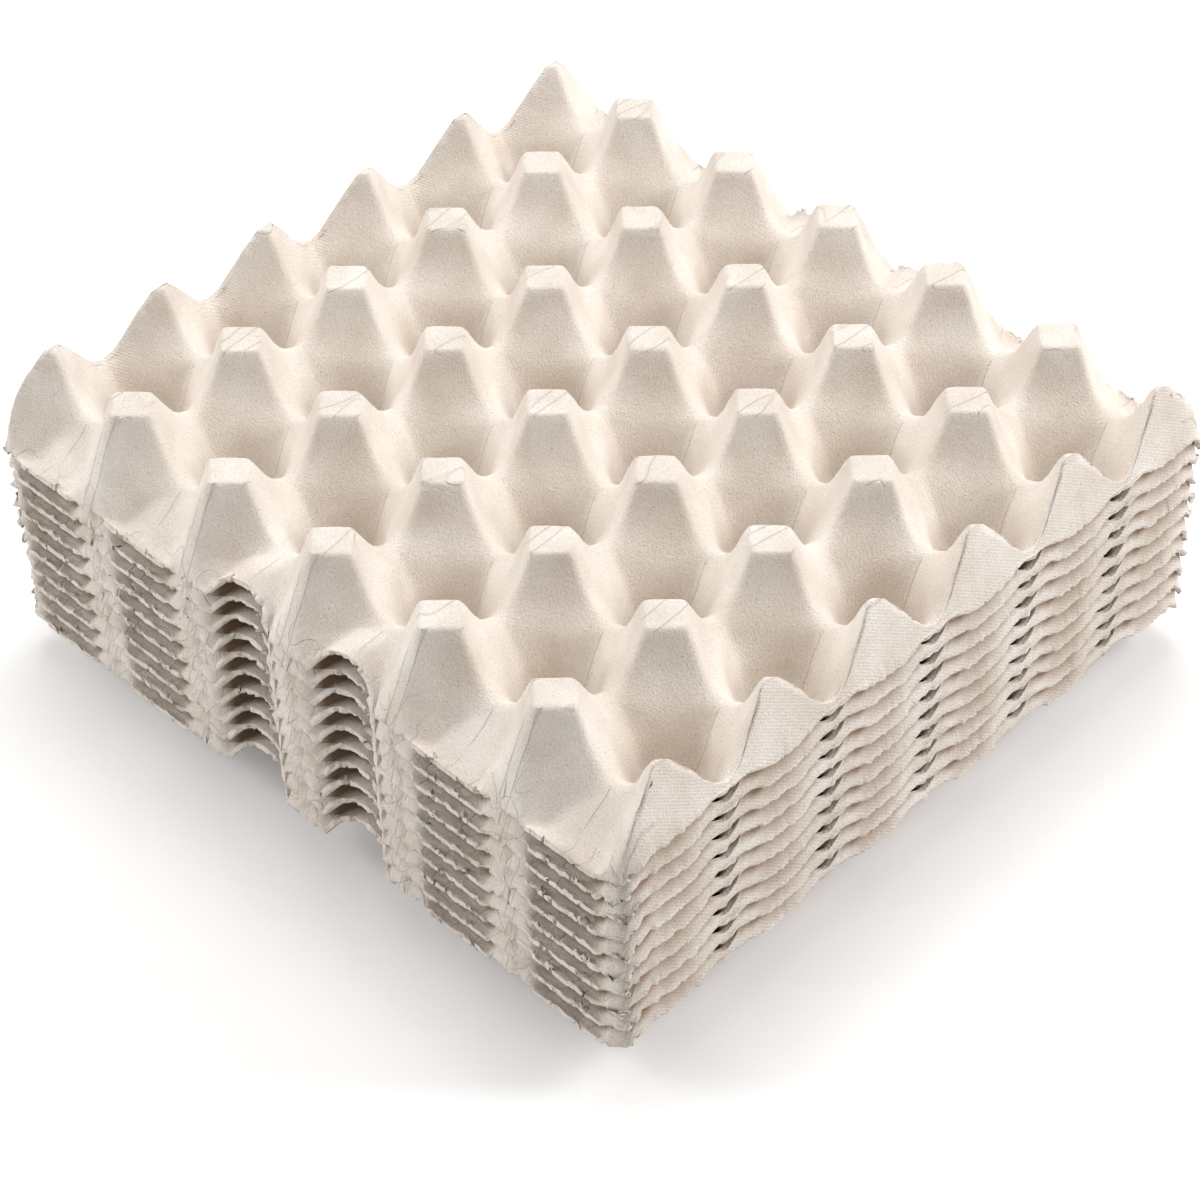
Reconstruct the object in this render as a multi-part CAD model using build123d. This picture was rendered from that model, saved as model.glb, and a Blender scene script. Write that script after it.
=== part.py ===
from build123d import *
from math import atan, cos, degrees, hypot, radians, sin, tan
import os

# A stack of ten nested moulded pulp egg trays, each for 6 by 5 eggs, in millimetres.
# X runs along the six cups, Y along the five, and Z = 0 is the surface the stack stands on.

# Driving dimensions of one tray, with every drop measured down from its post tops
columns = 6
rows = 5
pitch_x = 48.0
pitch_y = 46.0
wall = 1.8
post_top_width = 12.0
post_foot_half = 15.0
crest_drop = 18.0
crest_width = 5.0
cup_drop = 45.0
cup_floor_width = 17.0
cup_floor_length = 19.0
rim_drop = 31.0
skirt_angle = 74.8
skirt_inset = 6.3
front_rim_reach = 23.0

# The finger notches, two in each long front
notch_width = 26.0
notch_top_width = 17.0
notch_depth = 14.0
notch_cell_shares = (-0.5, 0.5)

# The stack
layers = 10
nest_gap = 0.3
tip_wall_share = 2

# What those sizes lead to
half_x = pitch_x / 2
half_y = pitch_y / 2
diamond_half = half_x * half_y / hypot(half_x, half_y)
grid_half_x = columns * half_x
grid_half_y = rows * half_y
post_top_half = post_top_width / 2
cup_mouth_half = 2 * diamond_half - post_foot_half
cup_floor_half = cup_floor_width / 2
flank_angle = degrees(atan(crest_drop / (post_foot_half - post_top_half)))
cup_angle = degrees(atan((cup_drop - crest_drop) / (cup_mouth_half - cup_floor_half)))
saddle_drop = crest_drop + (cup_mouth_half - diamond_half) * tan(radians(cup_angle))
web_drop = saddle_drop + wall / cos(radians(cup_angle))
nest_pitch = (wall + nest_gap) / cos(radians(max(skirt_angle, cup_angle)))
base_drop = cup_drop + nest_pitch
overrun = nest_pitch
wide_half_x = grid_half_x + pitch_x
wide_half_y = grid_half_y + pitch_y


def run(height, angle):
    """How far a face at this angle moves sideways over a height."""
    return height / tan(radians(angle))


def slant(thickness, angle):
    """A wall's thickness measured level, through a face at this angle."""
    return thickness / sin(radians(angle))


def diamond(half, drop):
    """Diamond of the egg grid at one height, given half its width across the flats."""
    share = half / diamond_half
    points = [(share * half_x, 0), (0, share * half_y), (-share * half_x, 0), (0, -share * half_y)]
    return Pos(0, 0, -drop) * make_face(Polyline(*points, close=True))


def block(half_along, half_across, top_drop, bottom_drop, grow_along=0, grow_across=0):
    """A rectangular mass that may widen from its top to its bottom."""
    top = Pos(0, 0, -top_drop) * Rectangle(2 * half_along, 2 * half_across)
    foot = Rectangle(2 * (half_along + grow_along), 2 * (half_across + grow_across))
    return loft([top, Pos(0, 0, -bottom_drop) * foot], ruled=True)


def shown_post():
    """A post with a flat top, four broad flanks and four narrow ridges down to the crests."""
    foot_half = post_top_half + run(base_drop, flank_angle)
    flanks = loft([diamond(post_top_half, 0), diamond(foot_half, base_drop)], ruled=True)
    clips = []
    for near, far in ((half_x, half_y), (half_y, half_x)):
        top_clip = near * post_top_half / diamond_half
        crest_clip = near * (post_foot_half / diamond_half - crest_width / 2 / far)
        clips.append((top_clip, (crest_clip - top_clip) * base_drop / crest_drop))
    ridges = block(clips[0][0], clips[1][0], 0, base_drop, clips[0][1], clips[1][1])
    return flanks & ridges


def post_hollow():
    """The hollow under a post, with a flat top of its own one wall below."""
    top_half = post_top_half + run(wall, flank_angle) - slant(wall, flank_angle)
    foot_half = top_half + (diamond_half - top_half) * (base_drop - wall) / (web_drop - wall)
    return loft([diamond(top_half, wall), diamond(foot_half, base_drop)], ruled=True)


def spire(tip_drop, saddle):
    """A post inside the stack, where nothing shows its top: four flanks that meet in a point."""
    foot_half = diamond_half * (base_drop - tip_drop) / (saddle - tip_drop)
    return loft([Vertex(0, 0, -tip_drop), diamond(foot_half, base_drop)], ruled=True)


def cup(inset, mouth_drop):
    """The inside of one cup, or with an inset the outside of its wall."""
    sections = []
    for drop in (mouth_drop, cup_drop + inset):
        half = cup_mouth_half - run(drop - crest_drop, cup_angle) + slant(inset, cup_angle)
        sections.append(diamond(half, drop))
    return loft(sections, ruled=True)


def shown_cup():
    """A cup whose four corners are cut off by the straight sides of the crests."""
    mouth_drop = crest_drop - crest_width / 2
    floor_x = cup_floor_length / 2
    floor_y = floor_x * pitch_y / pitch_x
    crest_x = half_x - crest_width / 2
    crest_y = half_y - crest_width / 2
    rise_share = (cup_drop - mouth_drop) / (cup_drop - crest_drop)
    mouth_x = floor_x + (crest_x - floor_x) * rise_share
    mouth_y = floor_y + (crest_y - floor_y) * rise_share
    sides = block(mouth_x, mouth_y, mouth_drop, cup_drop, floor_x - mouth_x, floor_y - mouth_y)
    return cup(0, mouth_drop) & sides


def on_grid(piece, along, across):
    """Copies of a piece over a centred grid with the pitch of the eggs."""
    spots = []
    for i in range(along):
        for j in range(across):
            x = (i - (along - 1) / 2) * pitch_x
            y = (j - (across - 1) / 2) * pitch_y
            spots.append(Pos(x, y, 0) * piece)
    return spots


def mass(inset, post, hollow, web, web_half_y, half_posts_only):
    """All that lies below one side of a tray, down to a flat bottom."""
    bottom = base_drop + (overrun if inset else 0)
    apron_drop = rim_drop + inset
    posts = on_grid(post, columns + 1, rows + 1)
    standing = posts[0].fuse(*posts[1:])
    if half_posts_only:
        top_half_y = grid_half_y - run(saddle_drop, skirt_angle) - slant(inset, skirt_angle)
        standing &= block(wide_half_x, top_half_y, 0, bottom, 0, run(bottom, skirt_angle))
    apron = block(wide_half_x, web_half_y, web, apron_drop, 0, grid_half_y + front_rim_reach - web_half_y)
    ground = block(wide_half_x, wide_half_y, apron_drop, bottom)
    solid = standing.fuse(apron, ground).cut(*on_grid(hollow, columns, rows))
    skirt_half_x = grid_half_x - skirt_inset - slant(inset, skirt_angle)
    rim_half_y = grid_half_y + front_rim_reach + (overrun if inset else 0)
    return solid & block(skirt_half_x, rim_half_y, 0, bottom, run(bottom, skirt_angle), 0)


def notches():
    """Finger notches cut down through the rims of the two fronts, beside the middle."""
    rim_y = grid_half_y + front_rim_reach
    outside = [(-notch_width / 2, rim_y + overrun), (notch_width / 2, rim_y + overrun)]
    inside = [(notch_top_width / 2, rim_y - notch_depth), (-notch_top_width / 2, rim_y - notch_depth)]
    rim_line = [(notch_width / 2, rim_y), (-notch_width / 2, rim_y)]
    points = outside + rim_line[:1] + inside + rim_line[1:]
    cutter = extrude(make_face(Polyline(*points, close=True)), -base_drop)
    places = []
    for share in notch_cell_shares:
        places += [Pos(share * pitch_x, 0, 0) * cutter, Pos(share * pitch_x, 0, 0) * cutter.mirror(Plane.XZ)]
    return places


def tray(upper, under):
    """One tray between its two sides, its post tops at Z = 0."""
    below_rim = block(wide_half_x, wide_half_y, rim_drop + wall, base_drop + overrun)
    below_rim -= block(grid_half_x, grid_half_y, rim_drop, base_drop + 2 * overrun)
    return (upper - under - below_rim).cut(*notches())


def nested_tray():
    """A tray under another: pointed posts and plain saddles, as only its rims and underside show."""
    upper_post = spire(0, saddle_drop)
    under_post = spire(tip_wall_share * wall, web_drop)
    upper = mass(0, upper_post, cup(0, saddle_drop), saddle_drop, grid_half_y, True)
    under = mass(wall, under_post, cup(wall, web_drop), web_drop, grid_half_y, True)
    return tray(upper, under)


def top_tray():
    """The tray that shows: flat post tops, ridges down to level crests, and the eight-sided cups."""
    web_half_y = grid_half_y + crest_width / 2
    upper = mass(0, shown_post(), shown_cup(), crest_drop, web_half_y, False)
    under = mass(wall, post_hollow(), cup(wall, web_drop), web_drop, grid_half_y, False)
    return tray(upper, under)


def write_stack():
    """Write each tray at its height in the stack, tray_01 being the lowest."""
    nested = nested_tray()
    os.makedirs("parts", exist_ok=True)
    for layer in range(layers):
        form = top_tray() if layer == layers - 1 else nested
        lift = cup_drop + wall + layer * nest_pitch
        export_step(Pos(0, 0, lift) * form, "parts/tray_%02d.step" % (layer + 1))


write_stack()
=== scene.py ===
from math import cos, pi, radians, sin, sqrt, tan

import bmesh
import bpy
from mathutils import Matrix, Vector


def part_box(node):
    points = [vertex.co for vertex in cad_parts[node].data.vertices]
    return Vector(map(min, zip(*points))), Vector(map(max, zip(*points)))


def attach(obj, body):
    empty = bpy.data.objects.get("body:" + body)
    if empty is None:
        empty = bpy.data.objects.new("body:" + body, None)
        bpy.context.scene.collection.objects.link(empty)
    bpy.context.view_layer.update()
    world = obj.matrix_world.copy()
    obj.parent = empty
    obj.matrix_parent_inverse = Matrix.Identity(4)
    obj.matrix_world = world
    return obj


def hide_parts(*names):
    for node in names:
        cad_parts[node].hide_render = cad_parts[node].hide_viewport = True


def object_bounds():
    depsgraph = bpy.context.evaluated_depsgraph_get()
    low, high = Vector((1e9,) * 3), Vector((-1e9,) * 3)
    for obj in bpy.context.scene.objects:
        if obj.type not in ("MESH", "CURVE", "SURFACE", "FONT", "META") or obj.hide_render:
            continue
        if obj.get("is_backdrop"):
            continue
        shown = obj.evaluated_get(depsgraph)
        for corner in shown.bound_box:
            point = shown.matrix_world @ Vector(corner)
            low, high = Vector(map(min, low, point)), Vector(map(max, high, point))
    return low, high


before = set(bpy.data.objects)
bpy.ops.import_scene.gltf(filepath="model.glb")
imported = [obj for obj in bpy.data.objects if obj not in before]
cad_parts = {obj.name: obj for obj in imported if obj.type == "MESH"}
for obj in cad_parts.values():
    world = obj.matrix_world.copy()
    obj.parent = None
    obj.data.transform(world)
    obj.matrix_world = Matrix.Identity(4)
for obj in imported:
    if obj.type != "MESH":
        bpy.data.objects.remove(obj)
mm = 0.001


def boundsAsLists():
    return [[float(v) for v in corner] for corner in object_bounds()]


sizes = {"cad": boundsAsLists()}

# The stack, in millimetres, heights measured from the post tops
stack = dict(columns=6, rows=5, pitchX=48.0, pitchY=46.0, layers=10, wall=1.7, trayHeight=46.8)
halfX = stack["pitchX"] / 2
halfY = stack["pitchY"] / 2
tileHalf = halfX * halfY / sqrt(halfX ** 2 + halfY ** 2)
gridX = stack["columns"] * halfX
gridY = stack["rows"] * halfY
same = mm / 50        # closer than this, two places are one
tileSeam = mm / 20    # and on the edges between the tiles


def deselectAll():
    if bpy.context.object and bpy.context.object.mode != "OBJECT":
        bpy.ops.object.mode_set(mode="OBJECT")
    bpy.ops.object.select_all(action="DESELECT")


def activate(*pieces):
    deselectAll()
    for piece in pieces:
        piece.select_set(True)
    bpy.context.view_layer.objects.active = pieces[0]


def pick(piece, test, kind="verts"):
    # selects the vertices, edges or faces of a piece in edit mode that pass a test
    modes = {"verts": "VERT", "edges": "EDGE", "faces": "FACE"}
    bpy.ops.mesh.select_mode(type=modes[kind])
    bpy.ops.mesh.select_all(action="DESELECT")
    net = bmesh.from_edit_mesh(piece.data)
    for part in getattr(net, kind):
        if test(part):
            part.select_set(True)
    net.select_flush_mode()
    bmesh.update_edit_mesh(piece.data)


def applyModifier(piece, kind, **settings):
    activate(piece)
    modifier = piece.modifiers.new(kind.title(), kind)
    for name, value in settings.items():
        setattr(modifier, name, value)
    bpy.ops.object.modifier_apply(modifier=modifier.name)


# One tile of the sheet: a post or a cup, as diamond rings from its middle out to its neighbours.
# Each ring is (half its width, drop at its four sides, drop at its X corners, at its Y corners, corner pull)
postTile = dict(
    name="post",
    cap=5.7,
    capDrop=0.0,
    rings=[
        (6.8, 0.5, 0.5, 0.5, 0.90),
        (8.6, 4.6, 5.2, 4.4, 0.93),
        (12.0, 12.6, 18.2, 14.2, 0.97),
        (tileHalf, 22.5, 20.0, 16.5, 1.0),
    ],
    creaseFrom=6.0,              # the ridges are creased outside this half width
    ridgeCrease=0.42,
    creasedRings=(5.4, 7.6),     # and the rings between these
    ringCrease=0.30,
)
cupTile = dict(
    name="cup",
    cap=4.4,
    capDrop=45.0,
    rings=[
        (7.0, 44.6, 43.4, 43.6, 0.84),
        (9.4, 41.8, 36.8, 38.4, 0.88),
        (12.0, 35.4, 27.2, 29.8, 0.94),
        (14.7, 28.0, 17.6, 21.2, 0.99),
        (tileHalf, 22.5, 16.5, 20.0, 1.0),
    ],
    creaseFrom=13.9,
    ridgeCrease=0.30,
    ringCrease=0.0,
)
tileCuts = 4
cornerSpread = 1.5    # how far the lines beside a corner move towards it
ridgeShare = 0.16     # how much of the fall from a corner to a side is made beside the corner
besideCorner = (1 + cornerSpread / 2) / 2  # where those lines cross a ring, 1 being at its corner
besideWithin = 0.045
sameRing = 0.6        # two points are on one ring if its half widths at them differ by less
onAxis = mm / 5       # a point this near to an axis is one of a tile's corners


def makeTile(plan):
    deselectAll()
    bpy.ops.mesh.primitive_grid_add(x_subdivisions=tileCuts, y_subdivisions=tileCuts,
                                    size=2 * plan["cap"] * mm)
    tile = bpy.context.object
    tile.name = plan["name"]
    bpy.ops.object.mode_set(mode="EDIT")
    line = plan["cap"] * mm / 2
    for axis, spread in ((0, (cornerSpread, 1, 1)), (1, (1, cornerSpread, 1))):
        pick(tile, lambda v: abs(abs(v.co[axis]) - line) < onAxis)
        bpy.ops.transform.resize(value=spread, center_override=(0, 0, 0))
    bpy.ops.mesh.select_all(action="SELECT")
    bpy.ops.transform.rotate(value=pi / 4, orient_axis="Z", center_override=(0, 0, 0))
    stretch = sqrt(2) * tileHalf
    bpy.ops.transform.resize(value=(halfX / stretch, halfY / stretch, 1), center_override=(0, 0, 0))
    bpy.ops.transform.translate(value=(0, 0, -plan["capDrop"] * mm))
    last = (plan["cap"], plan["capDrop"], plan["capDrop"], plan["capDrop"], 1.0)
    for ring in plan["rings"]:
        half, drop, dropX, dropY, pull = ring
        lastHalf, lastDrop, lastX, lastY, lastPull = last
        pick(tile, lambda e: e.is_boundary, "edges")
        bpy.ops.mesh.extrude_region()
        grow = half / lastHalf
        bpy.ops.transform.resize(value=(grow, grow, 1), center_override=(0, 0, 0))
        bpy.ops.transform.translate(value=(0, 0, (lastDrop - drop) * mm))
        # the corners carry the ridges between posts, so they stand apart from the four sides
        for axis, lift in ((0, drop - dropX - lastDrop + lastX), (1, drop - dropY - lastDrop + lastY)):
            reach = (halfX, halfY)[axis] * half / tileHalf * mm
            inward = [1, 1, 1]
            inward[axis] = pull / lastPull
            pick(tile, lambda v: v.is_boundary and abs(v.co[1 - axis]) < onAxis)
            bpy.ops.transform.resize(value=inward, center_override=(0, 0, 0))
            bpy.ops.transform.translate(value=(0, 0, lift * mm))
            pick(tile, lambda v: v.is_boundary and abs(v.co[1 - axis]) > onAxis
                 and abs(abs(v.co[axis]) / reach - besideCorner) < besideWithin)
            bpy.ops.transform.translate(value=(0, 0, lift * (1 - ridgeShare) * mm))
        last = ring
    creaseTile(tile, plan)
    bpy.ops.object.mode_set(mode="OBJECT")
    print("tile", plan["name"], len(tile.data.polygons), "faces")
    return tile


def ringHalf(v):
    # half the width of the diamond that a point of a tile lies on
    return tileHalf * (abs(v.co.x) / halfX + abs(v.co.y) / halfY) / mm


def isBeside(v):
    # whether a point lies on one of the lines that run out beside a tile's corners
    alongX, alongY = abs(v.co.x) / halfX, abs(v.co.y) / halfY
    if alongX + alongY == 0:
        return False
    share = alongX / (alongX + alongY)
    return min(abs(share - besideCorner), abs(share - 1 + besideCorner)) < besideWithin


def creaseTile(tile, plan):
    # the ridges' two edges and the rim of a post's top stay fairly sharp in the smoothing
    pick(tile, lambda e: all(isBeside(v) and ringHalf(v) > plan["creaseFrom"] for v in e.verts)
         and abs(ringHalf(e.verts[0]) - ringHalf(e.verts[1])) > sameRing, "edges")
    bpy.ops.transform.edge_crease(value=plan["ridgeCrease"])
    if plan["ringCrease"]:
        inner, outer = plan["creasedRings"]
        pick(tile, lambda e: all(inner < ringHalf(v) < outer for v in e.verts)
             and not e.is_boundary, "edges")
        bpy.ops.transform.edge_crease(value=plan["ringCrease"])


def tileOver(tile, along, across):
    # copies the tile over a centred grid with the pitch of the cups
    activate(tile)
    bpy.ops.transform.translate(value=(-(along - 1) * halfX * mm, -(across - 1) * halfY * mm, 0))
    bpy.ops.object.transform_apply()
    for axis, count, pitch in ((0, along, stack["pitchX"]), (1, across, stack["pitchY"])):
        offset = [0, 0, 0]
        offset[axis] = pitch * mm
        applyModifier(tile, "ARRAY", count=count, use_relative_offset=False, use_constant_offset=True,
                      constant_offset_displace=offset, use_merge_vertices=True, merge_threshold=same)
    return tile


# The outline of one tray: skirts on the two short sides, level rims on the two fronts
rims = dict(
    skirtInset=6.3,        # how far inside the outermost posts' middles the skirts start
    skirtSlope=74.8,
    skirtMerge=0.7,        # points of the skirts' upper edge that are nearer than this are joined
    skirtLeast=0.8,        # the least height of a skirt
    skirtCuts=5,
    sideRim=23.2,          # drops of the rims from the post tops
    frontRim=31.0,
    frontReach=23.0,
    sideRimReach=8.0,      # how far beyond the last posts the side rims stay level
    ridgeStart=8.3,        # where the front posts' ridges leave their tops, and how they widen
    ridgeHalf=1.5,
    ridgeSpread=0.48,
    ridgeFlank=2.0,
    blendFrom=4.0,
    blendTo=11.0,
    smoothFrom=9.0,
    smoothing=0.5,
    gutter=18.8,           # where the scoops between the front posts end in a narrow flange
    gutterDrop=1.6,
    scoopStart=2.5,
    scoopDrop=20.0,
    scoopBend=0.8,
    valleyFrom=17.0,       # the crests sink towards the side rims, which leaves slots in the stack
    valleyTo=7.5,
    valleySink=3.4,
    valleyFloor=4.0,       # half the width that sinks fully, then half of what sinks at all
    valleyHalf=12.0,
    cornerRadius=13.0,
    cornerFrom=8.0,
    cornerMerge=0.9,
    sideLip=0.8,
    lipWithin=3.0,
    sideScallop=1.3,       # the side rims hang lower under the posts than under the slots
    scallopFrom=6.0,
    scallopTo=17.0,
    notchPlaces=(-0.47, 0.53),
    notchHalf=14.4,
    notchRise=10.0,
    notchPull=6.0,
    notchArch=0.42,        # lower for squarer notches
)


def notchShare(x):
    # 1 over the middle of a finger notch, 0 outside it
    nearest = min(abs(x - place * stack["pitchX"]) for place in rims["notchPlaces"])
    return max(0.0, 1 - (nearest / rims["notchHalf"]) ** 2) ** rims["notchArch"]


def ease(value, start, end):
    share = min(1.0, max(0.0, (value - start) / (end - start)))
    return share * share * (3 - 2 * share)


def fromNearest(value, pitch, count):
    # how far a place is from the nearest of some evenly spaced lines about the middle
    start = -(count - 1) * pitch / 2
    line = round((value - start) / pitch)
    return abs(value - start - pitch * min(count - 1, max(0, line)))


def frontDrop(x, reach, drop):
    # the drop of a front's surface at this reach beyond the outermost post row
    rim = rims["frontRim"] - rims["notchRise"] * notchShare(x)
    gutterDrop = rim + rims["gutterDrop"] * (1 - notchShare(x))
    if reach > rims["gutter"]:
        share = (reach - rims["gutter"]) / (rims["frontReach"] - rims["gutter"])
        floor = gutterDrop + (rim - gutterDrop) * share
    else:
        share = (reach - rims["scoopStart"]) / (rims["gutter"] - rims["scoopStart"])
        floor = rims["scoopDrop"] + (gutterDrop - rims["scoopDrop"]) * max(0.0, share) ** rims["scoopBend"]
    run = max(0.0, reach - rims["ridgeStart"])
    ridge = rims["frontRim"] * run / (rims["frontReach"] - rims["ridgeStart"])
    beside = fromNearest(x, stack["pitchX"], stack["columns"] + 1)
    wedge = ridge + rims["ridgeFlank"] * max(0.0, beside - rims["ridgeHalf"] - rims["ridgeSpread"] * run)
    share = ease(reach, rims["blendFrom"], rims["blendTo"])
    return min(drop, max(floor, ridge)) * (1 - share) + min(floor, wedge) * share


def shapeFronts(tray):
    # the rows beyond the last posts run out to the level rims, in ridges with scoops between them
    activate(tray)
    bpy.ops.object.mode_set(mode="EDIT")
    frontY = (gridY + rims["frontReach"]) * mm
    for side in (-1, 1):
        bpy.ops.mesh.select_all(action="SELECT")
        bpy.ops.mesh.bisect(plane_co=(0, side * frontY, 0), plane_no=(0, side, 0), clear_outer=True)
    net = bmesh.from_edit_mesh(tray.data)
    for v in net.verts:
        reach = abs(v.co.y) / mm - gridY
        if reach > 0:
            x = v.co.x / mm
            v.co.z = -frontDrop(x, reach, -v.co.z / mm) * mm
            side = 1 if v.co.y > 0 else -1
            pulled = rims["notchPull"] * notchShare(x) * (reach / rims["frontReach"]) ** 2
            v.co.y -= side * pulled * mm
        sink = ease(abs(v.co.x) / mm, gridX - rims["valleyFrom"], gridX - rims["valleyTo"])
        beside = fromNearest(v.co.y / mm, stack["pitchY"], stack["rows"])
        v.co.z -= rims["valleySink"] * sink * (1 - ease(beside, rims["valleyFloor"], rims["valleyHalf"])) * mm
    bmesh.update_edit_mesh(tray.data)
    pick(tray, lambda v: abs(v.co.y) / mm > gridY + rims["smoothFrom"] and not v.is_boundary)
    bpy.ops.mesh.vertices_smooth(factor=rims["smoothing"], repeat=1)
    bpy.ops.object.mode_set(mode="OBJECT")


def dropAt(y):
    # the drop of a side rim: these rims are level, and fall to the front rims beyond the last posts
    reach = max(0.0, abs(y) - gridY - rims["sideRimReach"])
    share = min(1.0, reach / (rims["frontReach"] - rims["sideRimReach"]))
    beside = fromNearest(y, stack["pitchY"], stack["rows"] + 1)
    underPost = 1 - 2 * ease(beside, rims["scallopFrom"], rims["scallopTo"])
    sideRim = rims["sideRim"] + rims["sideScallop"] * underPost
    return sideRim + (rims["frontRim"] - sideRim) * share


def onSkirt(v, within=0.5):
    return abs(v.co.x) / mm > gridX - rims["skirtInset"] - within


def cutOutline(tray):
    # trims the two short sides, then draws their skirts down to the rims
    activate(tray)
    bpy.ops.object.mode_set(mode="EDIT")
    topX = (gridX - rims["skirtInset"]) * mm
    tilt = radians(90 - rims["skirtSlope"])
    for side in (-1, 1):
        bpy.ops.mesh.select_all(action="SELECT")
        bpy.ops.mesh.bisect(plane_co=(side * topX, 0, 0), plane_no=(side * cos(tilt), 0, sin(tilt)),
                            clear_outer=True)

    def isSkirtTop(e):
        return e.is_boundary and all(onSkirt(v, 0.1) for v in e.verts)

    pick(tray, isSkirtTop, "edges")
    bpy.ops.mesh.dissolve_degenerate(threshold=rims["skirtMerge"] * mm)
    pick(tray, isSkirtTop, "edges")
    bpy.ops.mesh.extrude_region()
    net = bmesh.from_edit_mesh(tray.data)
    for v in net.verts:
        if v.select:
            drop = max(dropAt(v.co.y / mm), -v.co.z / mm + rims["skirtLeast"])
            v.co.z = -drop * mm
            reach = gridX - rims["skirtInset"] + drop * tan(tilt)
            v.co.x = (reach if v.co.x > 0 else -reach) * mm
    bmesh.update_edit_mesh(tray.data)
    pick(tray, lambda e: e.is_manifold and onSkirt(e.verts[0], 0.2)
         and sum(v.is_boundary for v in e.verts) == 1
         and abs(e.verts[0].co.y - e.verts[1].co.y) < same, "edges")
    bpy.ops.mesh.subdivide(number_cuts=rims["skirtCuts"])
    # the moulded lip along the side rims stands out a little
    for side in (-1, 1):
        pick(tray, lambda v: v.is_boundary and side * v.co.x > (gridX - rims["lipWithin"]) * mm)
        bpy.ops.transform.translate(value=(side * rims["sideLip"] * mm, 0, 0))
    roundCorners(tray)
    bpy.ops.object.mode_set(mode="OBJECT")


def roundCorners(tray):
    # draws what lies outside a rounded corner back to its arc
    net = bmesh.from_edit_mesh(tray.data)
    radius = rims["cornerRadius"] * mm
    for v in net.verts:
        skirt = gridX - rims["skirtInset"] - v.co.z / mm / tan(radians(rims["skirtSlope"]))
        centre = Vector((skirt * mm - radius, (gridY + rims["frontReach"]) * mm - radius))
        past = Vector((abs(v.co.x), abs(v.co.y))) - centre
        if past.x > 0 and past.y > 0 and past.length > radius:
            place = centre + past * (radius / past.length)
            v.co.x = place.x if v.co.x > 0 else -place.x
            v.co.y = place.y if v.co.y > 0 else -place.y
    bmesh.update_edit_mesh(tray.data)
    # the squeezed faces there would fold over when the rims are torn
    pick(tray, lambda v: abs(v.co.x) > (gridX - rims["cornerFrom"]) * mm
         and abs(v.co.y) > (gridY + rims["cornerFrom"]) * mm)
    bpy.ops.mesh.remove_doubles(threshold=rims["cornerMerge"] * mm)


def makeTray():
    sheet = tileOver(makeTile(postTile), stack["columns"] + 1, stack["rows"] + 1)
    cups = tileOver(makeTile(cupTile), stack["columns"], stack["rows"] + 2)
    activate(sheet, cups)
    bpy.ops.object.join()
    bpy.ops.object.mode_set(mode="EDIT")
    bpy.ops.mesh.select_all(action="SELECT")
    bpy.ops.mesh.remove_doubles(threshold=tileSeam)
    bpy.ops.object.mode_set(mode="OBJECT")
    applyModifier(sheet, "SUBSURF", levels=1, render_levels=1)
    shapeFronts(sheet)
    cutOutline(sheet)
    sheet.name = "tray"
    print("tray", len(sheet.data.polygons), "faces")
    return sheet


# The stack: every tray a copy of the one sheet, each with its own small unevenness
unevenness = dict(
    sag=0.7,               # how far a tray's sheet strays from its mould, and over what width
    sagWidth=44.0,
    wrinkle=0.28,
    wrinkleWidth=7.0,
    frontTear=0.85,        # how ragged the torn rims are
    sideTear=0.35,
    notchTear=0.3,
    cornerTear=0.9,
    cornerX=6.0,           # the corners, measured in from the side grid line and out from the front one
    cornerY=12.0,
    sideFrom=3.0,
    tearEvenness=0.6,
    fineTear=0.45,         # the share of that in the second, finer tear, and how wide its band is
    tearFrom=3.6,
    frontShadeBand=(5.5, 3.0),  # painted shade: how far from its rim a covered tray is darkened, and from where it's left unshaded
    sideShadeBand=(5.5, 1.5),
    hiddenX=14.0,          # what lies further in than this is covered by the next tray
    hiddenY=4.0,
    keptShare=0.45,        # how much of a covered tray's inner mesh is kept
)


def rimDistance(v):
    # how far a point is from the edge of the sheet, in millimetres
    x, y, drop = v.co.x / mm, v.co.y / mm, -v.co.z / mm
    front = gridY + rims["frontReach"] - abs(y) - rims["notchPull"] * notchShare(x)
    if onSkirt(v):
        return min(front, max(0.0, dropAt(y) - drop))
    return front


def rimKind(v):
    x, y = abs(v.co.x) / mm, abs(v.co.y) / mm
    if x > gridX - unevenness["cornerX"] and y > gridY + unevenness["cornerY"]:
        return "cornerTear"
    if x > gridX - unevenness["sideFrom"]:
        return "sideTear"
    return "notchTear" if notchShare(v.co.x / mm) > 0 else "frontTear"


def tearRims(tray, layer):
    # ragged rims, first coarsely and then, on smaller faces, finely
    activate(tray)
    bpy.ops.object.mode_set(mode="EDIT")
    for finer in (1.0, unevenness["fineTear"]):
        for kind in ("frontTear", "sideTear", "notchTear", "cornerTear"):
            pick(tray, lambda v: v.is_boundary and rimKind(v) == kind)
            bpy.ops.transform.vertex_random(offset=unevenness[kind] * finer * mm, normal=0.0,
                                            uniform=unevenness["tearEvenness"], seed=layer)
        if finer == 1.0:
            pick(tray, lambda f: all(rimDistance(v) < unevenness["tearFrom"] for v in f.verts), "faces")
            bpy.ops.mesh.subdivide(number_cuts=1)
    bpy.ops.mesh.select_all(action="DESELECT")
    bpy.ops.object.mode_set(mode="OBJECT")


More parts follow.
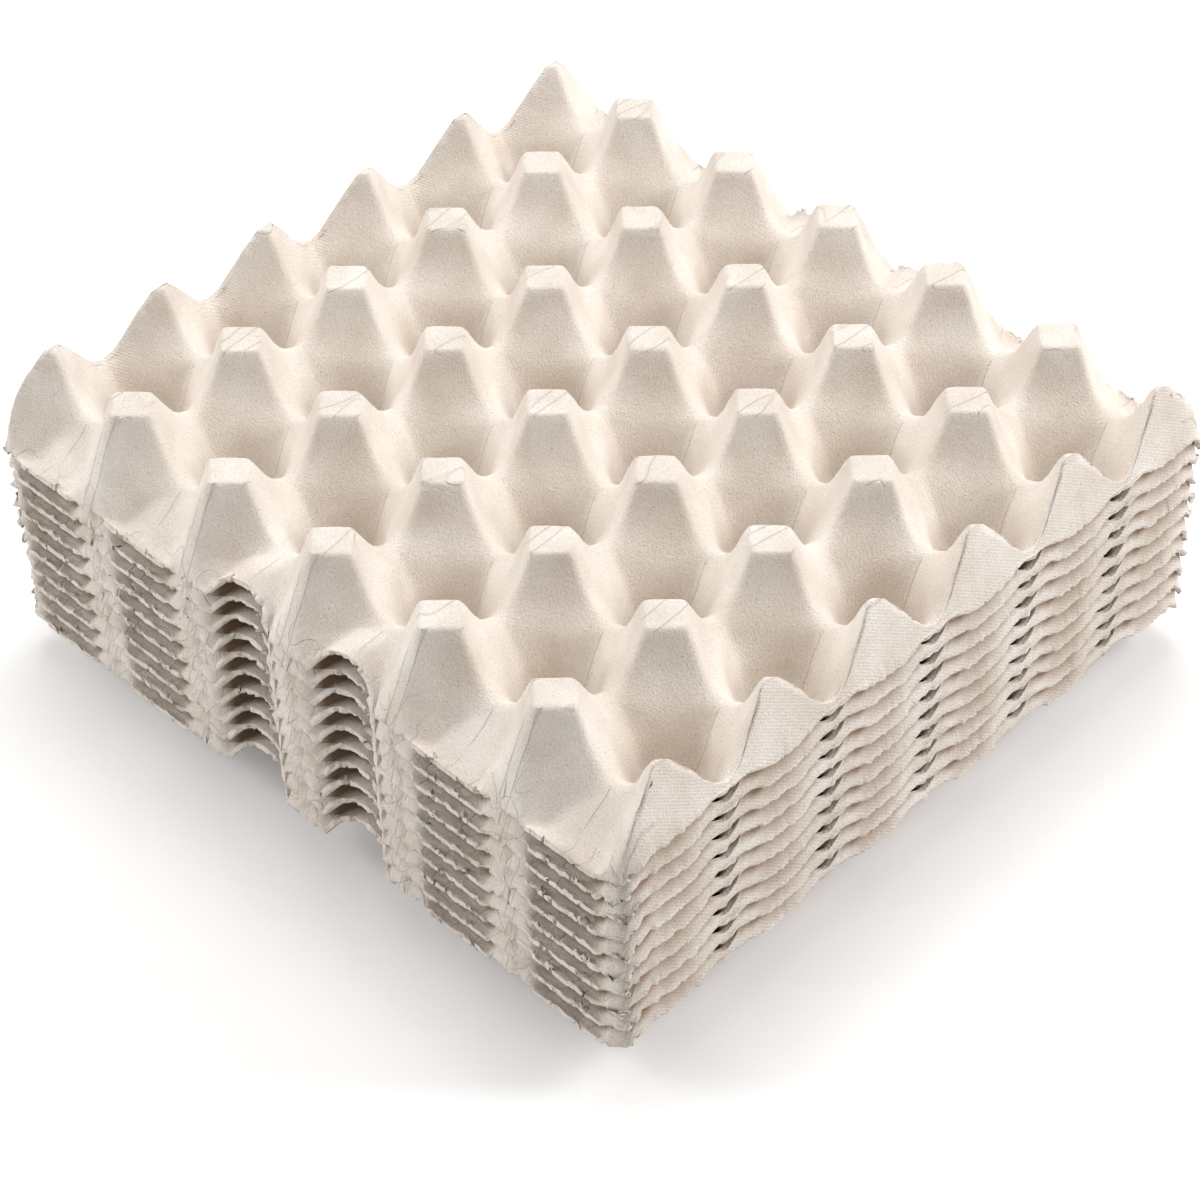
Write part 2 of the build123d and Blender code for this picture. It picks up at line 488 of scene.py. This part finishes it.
def thinHidden(tray):
    # under other trays only the rims and skirts show, so the rest keeps fewer faces
    activate(tray)
    group = tray.vertex_groups.new(name="covered")
    inner = [v.index for v in tray.data.vertices
             if abs(v.co.x) < (gridX - unevenness["hiddenX"]) * mm
             and abs(v.co.y) < (gridY + unevenness["hiddenY"]) * mm]
    group.add(inner, 1.0, "REPLACE")
    applyModifier(tray, "DECIMATE", ratio=unevenness["keptShare"], vertex_group="covered")
    tray.vertex_groups.clear()


def markBetween(tray):
    # painted shade: 1 where a point lies between two trays, under the rim of the tray above, 0 where its rim
    # is in the open, for darkening the pulp's colour
    values = []
    frontEdge = gridY + rims["frontReach"]
    frontDark, frontLight = unevenness["frontShadeBand"]
    sideDark, sideLight = unevenness["sideShadeBand"]
    for v in tray.data.vertices:
        x, y, drop = v.co.x / mm, v.co.y / mm, -v.co.z / mm
        pulled = rims["notchPull"] * notchShare(x)
        value = 1 - ease(abs(y) + pulled, frontEdge - frontDark, frontEdge - frontLight)
        if onSkirt(v):
            rim = dropAt(y)
            value = min(value, 1 - ease(drop, rim - sideDark, rim - sideLight))
        values.append(value)
    mark = tray.data.attributes.new("between", "FLOAT", "POINT")
    mark.data.foreach_set("value", values)


def keepInside(tray, low, high):
    # nothing of a tray reaches past the size it was measured at
    for v in tray.data.vertices:
        for axis in range(3):
            v.co[axis] = min(max(v.co[axis], low[axis]), high[axis])


def layTray(form, layer):
    activate(form)
    bpy.ops.object.duplicate()
    tray = bpy.context.object
    tray.name = "pulpTray%02d" % layer
    node = "tray_%02d" % layer
    tearRims(tray, layer)
    low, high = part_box(node)
    activate(tray)
    tray.location.z = low.z + stack["trayHeight"] * mm
    bpy.ops.object.transform_apply()
    # the wall, then a slow unevenness of the whole sheet
    applyModifier(tray, "SOLIDIFY", thickness=stack["wall"] * mm, offset=-1)
    for name, direction in (("sag", "Z"), ("wrinkle", "NORMAL")):
        cloud = bpy.data.textures.new(name + str(layer), "CLOUDS")
        cloud.noise_scale = unevenness[name + "Width"] * mm
        applyModifier(tray, "DISPLACE", texture=cloud, texture_coords="GLOBAL", direction=direction,
                      strength=2 * unevenness[name] * mm, mid_level=0.5)
        bpy.data.textures.remove(cloud)
    keepInside(tray, low, high)
    activate(tray)
    bpy.ops.object.shade_smooth()
    applyModifier(tray, "WEIGHTED_NORMAL", weight=60)
    tray.data.materials.clear()
    tray.data.materials.append(pulp)
    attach(tray, "root")
    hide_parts(node)
    return tray


# Moulded pulp: paper fibre sucked onto a mesh mould, so it is matt, speckled and faintly woven
pulpLook = dict(
    light="#F3ECE4",
    shade="#DACDC0",
    fleck="#85786C",
    crease="#B0A295",
    between="#AD9684",         # painted shade: the darker, browner pulp colour where it lies between two trays
    roughness=0.95,
    shine=0.2,
    blotch=17.0,               # widths of the patterns
    grain=0.8,
    fibre=0.34,
    grainShare=0.6,
    fibreShare=0.9,
    toneRange=(0.9, 1.6),
    fleckSize=0.95,
    fleckEdge=(0.22, 0.12),
    darkShare=0.05,            # the share of flecks that show dark
    seamHalf=0.13,             # the cups' seams, beside the middle, from and to these rows of their walls
    seamAside=-0.7,
    seamFrom=2.5,
    seamTo=15.0,
    seamFade=4.0,
    ridgeSeam=1.9,             # and the front ridges' seams
    ridgeSeamFrom=7.5,
    wander=0.5,
    wanderWidth=7.0,
    wrinkleFrom=13.0,          # creases, near the front rims and on the post tops
    wrinkleFade=6.0,
    wrinkleShare=0.8,
    topFrom=2.2,
    creaseTone=0.22,
    creaseWidth=8.0,
    creaseStretch=4.0,
    creaseTurn=(0.5, 0.35, 0.8),
    creaseEdge=(0.020, 0.003),
    twill=1.15,                # the woven print of the mould on the short sides
    twillTilt=0.6,
    twillFrom=9.0,
    twillFade=3.0,
    fibreDepth=0.20,           # heights of the bump
    grainDepth=0.30,
    twillDepth=0.05,
    creaseDepth=-0.35,
    bumpStrength=0.8,
)


def linear(hexColour):
    parts = [int(hexColour[i:i + 2], 16) / 255 for i in (1, 3, 5)]
    return [c / 12.92 if c <= 0.04045 else ((c + 0.055) / 1.055) ** 2.4 for c in parts] + [1.0]


def addNode(tree, kind, settings=None, inputs=None):
    node = tree.nodes.new(kind)
    for name, value in (settings or {}).items():
        setattr(node, name, value)
    for name, value in (inputs or {}).items():
        if isinstance(value, bpy.types.NodeSocket):
            tree.links.new(value, node.inputs[name])
        else:
            node.inputs[name].default_value = value
    return node


def maths(tree, operation, *values):
    return addNode(tree, "ShaderNodeMath", {"operation": operation}, dict(enumerate(values))).outputs[0]


def rise(tree, value, start, end):
    # 0 at the start, 1 at the end
    return addNode(tree, "ShaderNodeMapRange", None,
                   {"Value": value, "From Min": start, "From Max": end}).outputs[0]


def fade(tree, value, start, end):
    # the same over a length in millimetres
    return rise(tree, value, start * mm, end * mm)


def blend(tree, share, first, second, kind="MIX"):
    return addNode(tree, "ShaderNodeMix", {"data_type": "RGBA", "blend_type": kind},
                   {0: share, 6: first, 7: linear(second)}).outputs[2]


def noiseAt(tree, place, width, detail, roughness=0.5):
    return addNode(tree, "ShaderNodeTexNoise", None,
                   {"Vector": place, "Scale": 1 / (width * mm), "Detail": detail,
                    "Roughness": roughness}).outputs["Fac"]


def creases(tree, place, look):
    # thin wandering lines, longer along one diagonal
    turned = addNode(tree, "ShaderNodeMapping", None,
                     {0: place, "Rotation": look["creaseTurn"],
                      "Scale": (1.0, 1 / look["creaseStretch"], 1.0)}).outputs[0]
    field = noiseAt(tree, turned, look["creaseWidth"], 0.0)
    away = maths(tree, "ABSOLUTE", maths(tree, "SUBTRACT", field, 0.5))
    return rise(tree, away, *look["creaseEdge"])


def makePulp():
    look = pulpLook
    material = bpy.data.materials.new("mouldedPulp")
    material.use_nodes = True
    tree = material.node_tree
    tree.nodes.clear()
    place = addNode(tree, "ShaderNodeTexCoord").outputs["Object"]
    axes = addNode(tree, "ShaderNodeSeparateXYZ", None, {0: place})
    x, y, z = axes.outputs[0], axes.outputs[1], axes.outputs[2]
    outX, outY = maths(tree, "ABSOLUTE", x), maths(tree, "ABSOLUTE", y)

    # tone, fibre and flecks
    blotch = noiseAt(tree, place, look["blotch"], 1.0)
    grain = noiseAt(tree, place, look["grain"], 1.0, 0.6)
    fibre = noiseAt(tree, place, look["fibre"], 0.0)
    tone = maths(tree, "MULTIPLY_ADD", fibre, look["fibreShare"], blotch)
    tone = maths(tree, "MULTIPLY_ADD", grain, look["grainShare"], tone)
    flecks = addNode(tree, "ShaderNodeTexVoronoi", None,
                     {"Vector": place, "Scale": 1 / (look["fleckSize"] * mm)})
    fleckKind = addNode(tree, "ShaderNodeSeparateColor", None, {"Color": flecks.outputs["Color"]})
    isDark = maths(tree, "GREATER_THAN", fleckKind.outputs[0], 1 - look["darkShare"])
    fleck = maths(tree, "MULTIPLY", rise(tree, flecks.outputs["Distance"], *look["fleckEdge"]), isDark)

    # the mould's seams: one down each cup's wall, two down each front ridge
    wander = maths(tree, "MULTIPLY_ADD", noiseAt(tree, place, look["wanderWidth"], 1.0),
                   look["wander"] * 2 * mm, -look["wander"] * mm)
    seamX = maths(tree, "WRAP", maths(tree, "ADD", x, wander), 2 * halfX * mm, 0.0)
    cupLine = maths(tree, "ABSOLUTE", maths(tree, "SUBTRACT", seamX, (halfX - look["seamAside"]) * mm))
    rowPlace = maths(tree, "PINGPONG", maths(tree, "ADD", y, halfY * mm), halfY * mm)
    inCup = maths(tree, "MULTIPLY", fade(tree, rowPlace, look["seamFrom"], look["seamFrom"] + 1),
                  fade(tree, rowPlace, look["seamTo"], look["seamTo"] - look["seamFade"]))
    cupSeam = maths(tree, "MULTIPLY", inCup, fade(tree, cupLine, look["seamHalf"] * 2, look["seamHalf"]))
    ridgeX = maths(tree, "PINGPONG", maths(tree, "ADD", x, wander), halfX * mm)
    ridgeLine = maths(tree, "ABSOLUTE", maths(tree, "SUBTRACT", ridgeX, look["ridgeSeam"] * mm))
    onFront = fade(tree, outY, gridY + look["ridgeSeamFrom"] - 1, gridY + look["ridgeSeamFrom"])
    ridgeSeam = maths(tree, "MULTIPLY", onFront,
                      fade(tree, ridgeLine, look["seamHalf"] * 2, look["seamHalf"]))
    seam = maths(tree, "MAXIMUM", cupSeam, ridgeSeam)

    # wrinkles where the rims press on each other, and creases across the tops of the posts
    rimStart = gridY + look["wrinkleFrom"]
    nearRim = maths(tree, "MULTIPLY", look["wrinkleShare"],
                    fade(tree, outY, rimStart, rimStart + look["wrinkleFade"]))
    topStart = sizes["cad"][1][2] / mm - look["topFrom"]
    onTop = fade(tree, z, topStart, topStart + 1)
    wrinkled = maths(tree, "MULTIPLY", creases(tree, place, look),
                     maths(tree, "MAXIMUM", nearRim, onTop))
    crease = maths(tree, "MAXIMUM", seam, wrinkled)

    # the woven print of the mould on the short sides
    diagonal = maths(tree, "MULTIPLY_ADD", y, look["twillTilt"], z)
    weave = maths(tree, "SINE", maths(tree, "MULTIPLY", diagonal, 2 * pi / (look["twill"] * mm)))
    sideStart = gridX - look["twillFrom"]
    twill = maths(tree, "MULTIPLY", weave, fade(tree, outX, sideStart, sideStart + look["twillFade"]))

    colour = blend(tree, rise(tree, tone, *look["toneRange"]), linear(look["shade"]), look["light"])
    colour = blend(tree, maths(tree, "MULTIPLY", crease, look["creaseTone"]), colour, look["crease"])
    colour = blend(tree, fleck, colour, look["fleck"])
    # painted shade where the pulp lies between two trays, under the rim of the tray above
    between = addNode(tree, "ShaderNodeAttribute", {"attribute_name": "between"}).outputs["Fac"]
    colour = blend(tree, between, colour, look["between"], "MULTIPLY")
    height = maths(tree, "MULTIPLY", fibre, look["fibreDepth"])
    for pattern, depth in ((grain, "grainDepth"), (twill, "twillDepth"), (crease, "creaseDepth")):
        height = maths(tree, "MULTIPLY_ADD", pattern, look[depth], height)
    bump = addNode(tree, "ShaderNodeBump", None,
                   {"Height": height, "Strength": look["bumpStrength"], "Distance": 1.0 * mm})
    surface = addNode(tree, "ShaderNodeBsdfPrincipled", None,
                      {"Base Color": colour, "Roughness": look["roughness"],
                       "Specular IOR Level": look["shine"], "Normal": bump.outputs[0]})
    addNode(tree, "ShaderNodeOutputMaterial", None, {"Surface": surface.outputs[0]})
    return material


pulp = makePulp()
topForm = makeTray()
activate(topForm)
bpy.ops.object.duplicate()
coveredForm = bpy.context.object
thinHidden(coveredForm)
markBetween(coveredForm)
print("covered tray", len(coveredForm.data.polygons), "faces")
for layer in range(1, stack["layers"] + 1):
    tray = layTray(topForm if layer == stack["layers"] else coveredForm, layer)
    print(tray.name, sum(len(f.vertices) - 2 for f in tray.data.polygons), "triangles")
activate(topForm, coveredForm)
bpy.ops.object.delete()


# The picture, on white paper under two lamps and a soft one above
studio = dict(
    camera=(579.75, -566.96, 758.07),  # fitted to the post tops in the photo, with the next two
    turn=(47.605, 1.131, 44.708),
    lens=96.05,
    sensor=36.0,
    paper="#F7F6F5",
    floorSize=6.0,                     # this and the lamps are in metres and watts
    floorGlow=0.16,
    fill=0.36,
    lamps=(
        ("right", (1.05, 1.2, 1.15), 0.7, 22.0),
        ("left", (-1.25, -1.0, 1.0), 0.8, 14.0),
        ("above", (-0.4, 0.4, 1.9), 1.0, 16.0),
    ),
)


def seenRays(tree):
    # 1 for the rays that show the white paper to the camera, straight on or in a shine
    rays = addNode(tree, "ShaderNodeLightPath").outputs
    shine = maths(tree, "MAXIMUM", rays["Is Glossy Ray"], rays["Is Transmission Ray"])
    return maths(tree, "MAXIMUM", rays["Is Camera Ray"], shine)


def makeStage():
    deselectAll()
    bpy.ops.mesh.primitive_plane_add(size=studio["floorSize"], location=(0, 0, 0))
    floor = bpy.context.object
    floor.name = "floor"
    material = bpy.data.materials.new("paperFloor")  # a plain white sheet of paper
    material.use_nodes = True
    tree = material.node_tree
    principled = tree.nodes["Principled BSDF"]
    principled.inputs["Base Color"].default_value = linear(studio["paper"])
    principled.inputs["Roughness"].default_value = 1.0
    principled.inputs["Emission Color"].default_value = (1, 1, 1, 1)
    glow = maths(tree, "MULTIPLY", seenRays(tree), studio["floorGlow"])
    tree.links.new(glow, principled.inputs["Emission Strength"])
    floor.data.materials.append(material)
    floor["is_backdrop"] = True


def makeLights():
    world = bpy.data.worlds.new("studio")
    bpy.context.scene.world = world
    world.use_nodes = True
    tree = world.node_tree
    tree.nodes.clear()
    strength = addNode(tree, "ShaderNodeMix", None, {0: seenRays(tree), 2: studio["fill"], 3: 1.0})
    paper = addNode(tree, "ShaderNodeBackground", None,
                    {"Color": (1, 1, 1, 1), "Strength": strength.outputs[0]})
    addNode(tree, "ShaderNodeOutputWorld", None, {"Surface": paper.outputs[0]})
    for name, place, size, power in studio["lamps"]:
        bpy.ops.object.light_add(type="AREA", location=place)
        lamp = bpy.context.object
        lamp.name = name
        lamp.data.size = size
        lamp.data.energy = power
        lamp.rotation_euler = (-Vector(place)).to_track_quat("-Z", "Y").to_euler()


def makeCamera():
    bpy.ops.object.camera_add(location=[v * mm for v in studio["camera"]],
                              rotation=[radians(v) for v in studio["turn"]])
    camera = bpy.context.object
    camera.data.lens = studio["lens"]
    camera.data.sensor_width = studio["sensor"]
    bpy.context.scene.camera = camera
    bpy.context.scene.view_settings.view_transform = "Standard"


makeStage()
makeLights()
makeCamera()

sizes["scene"] = boundsAsLists()
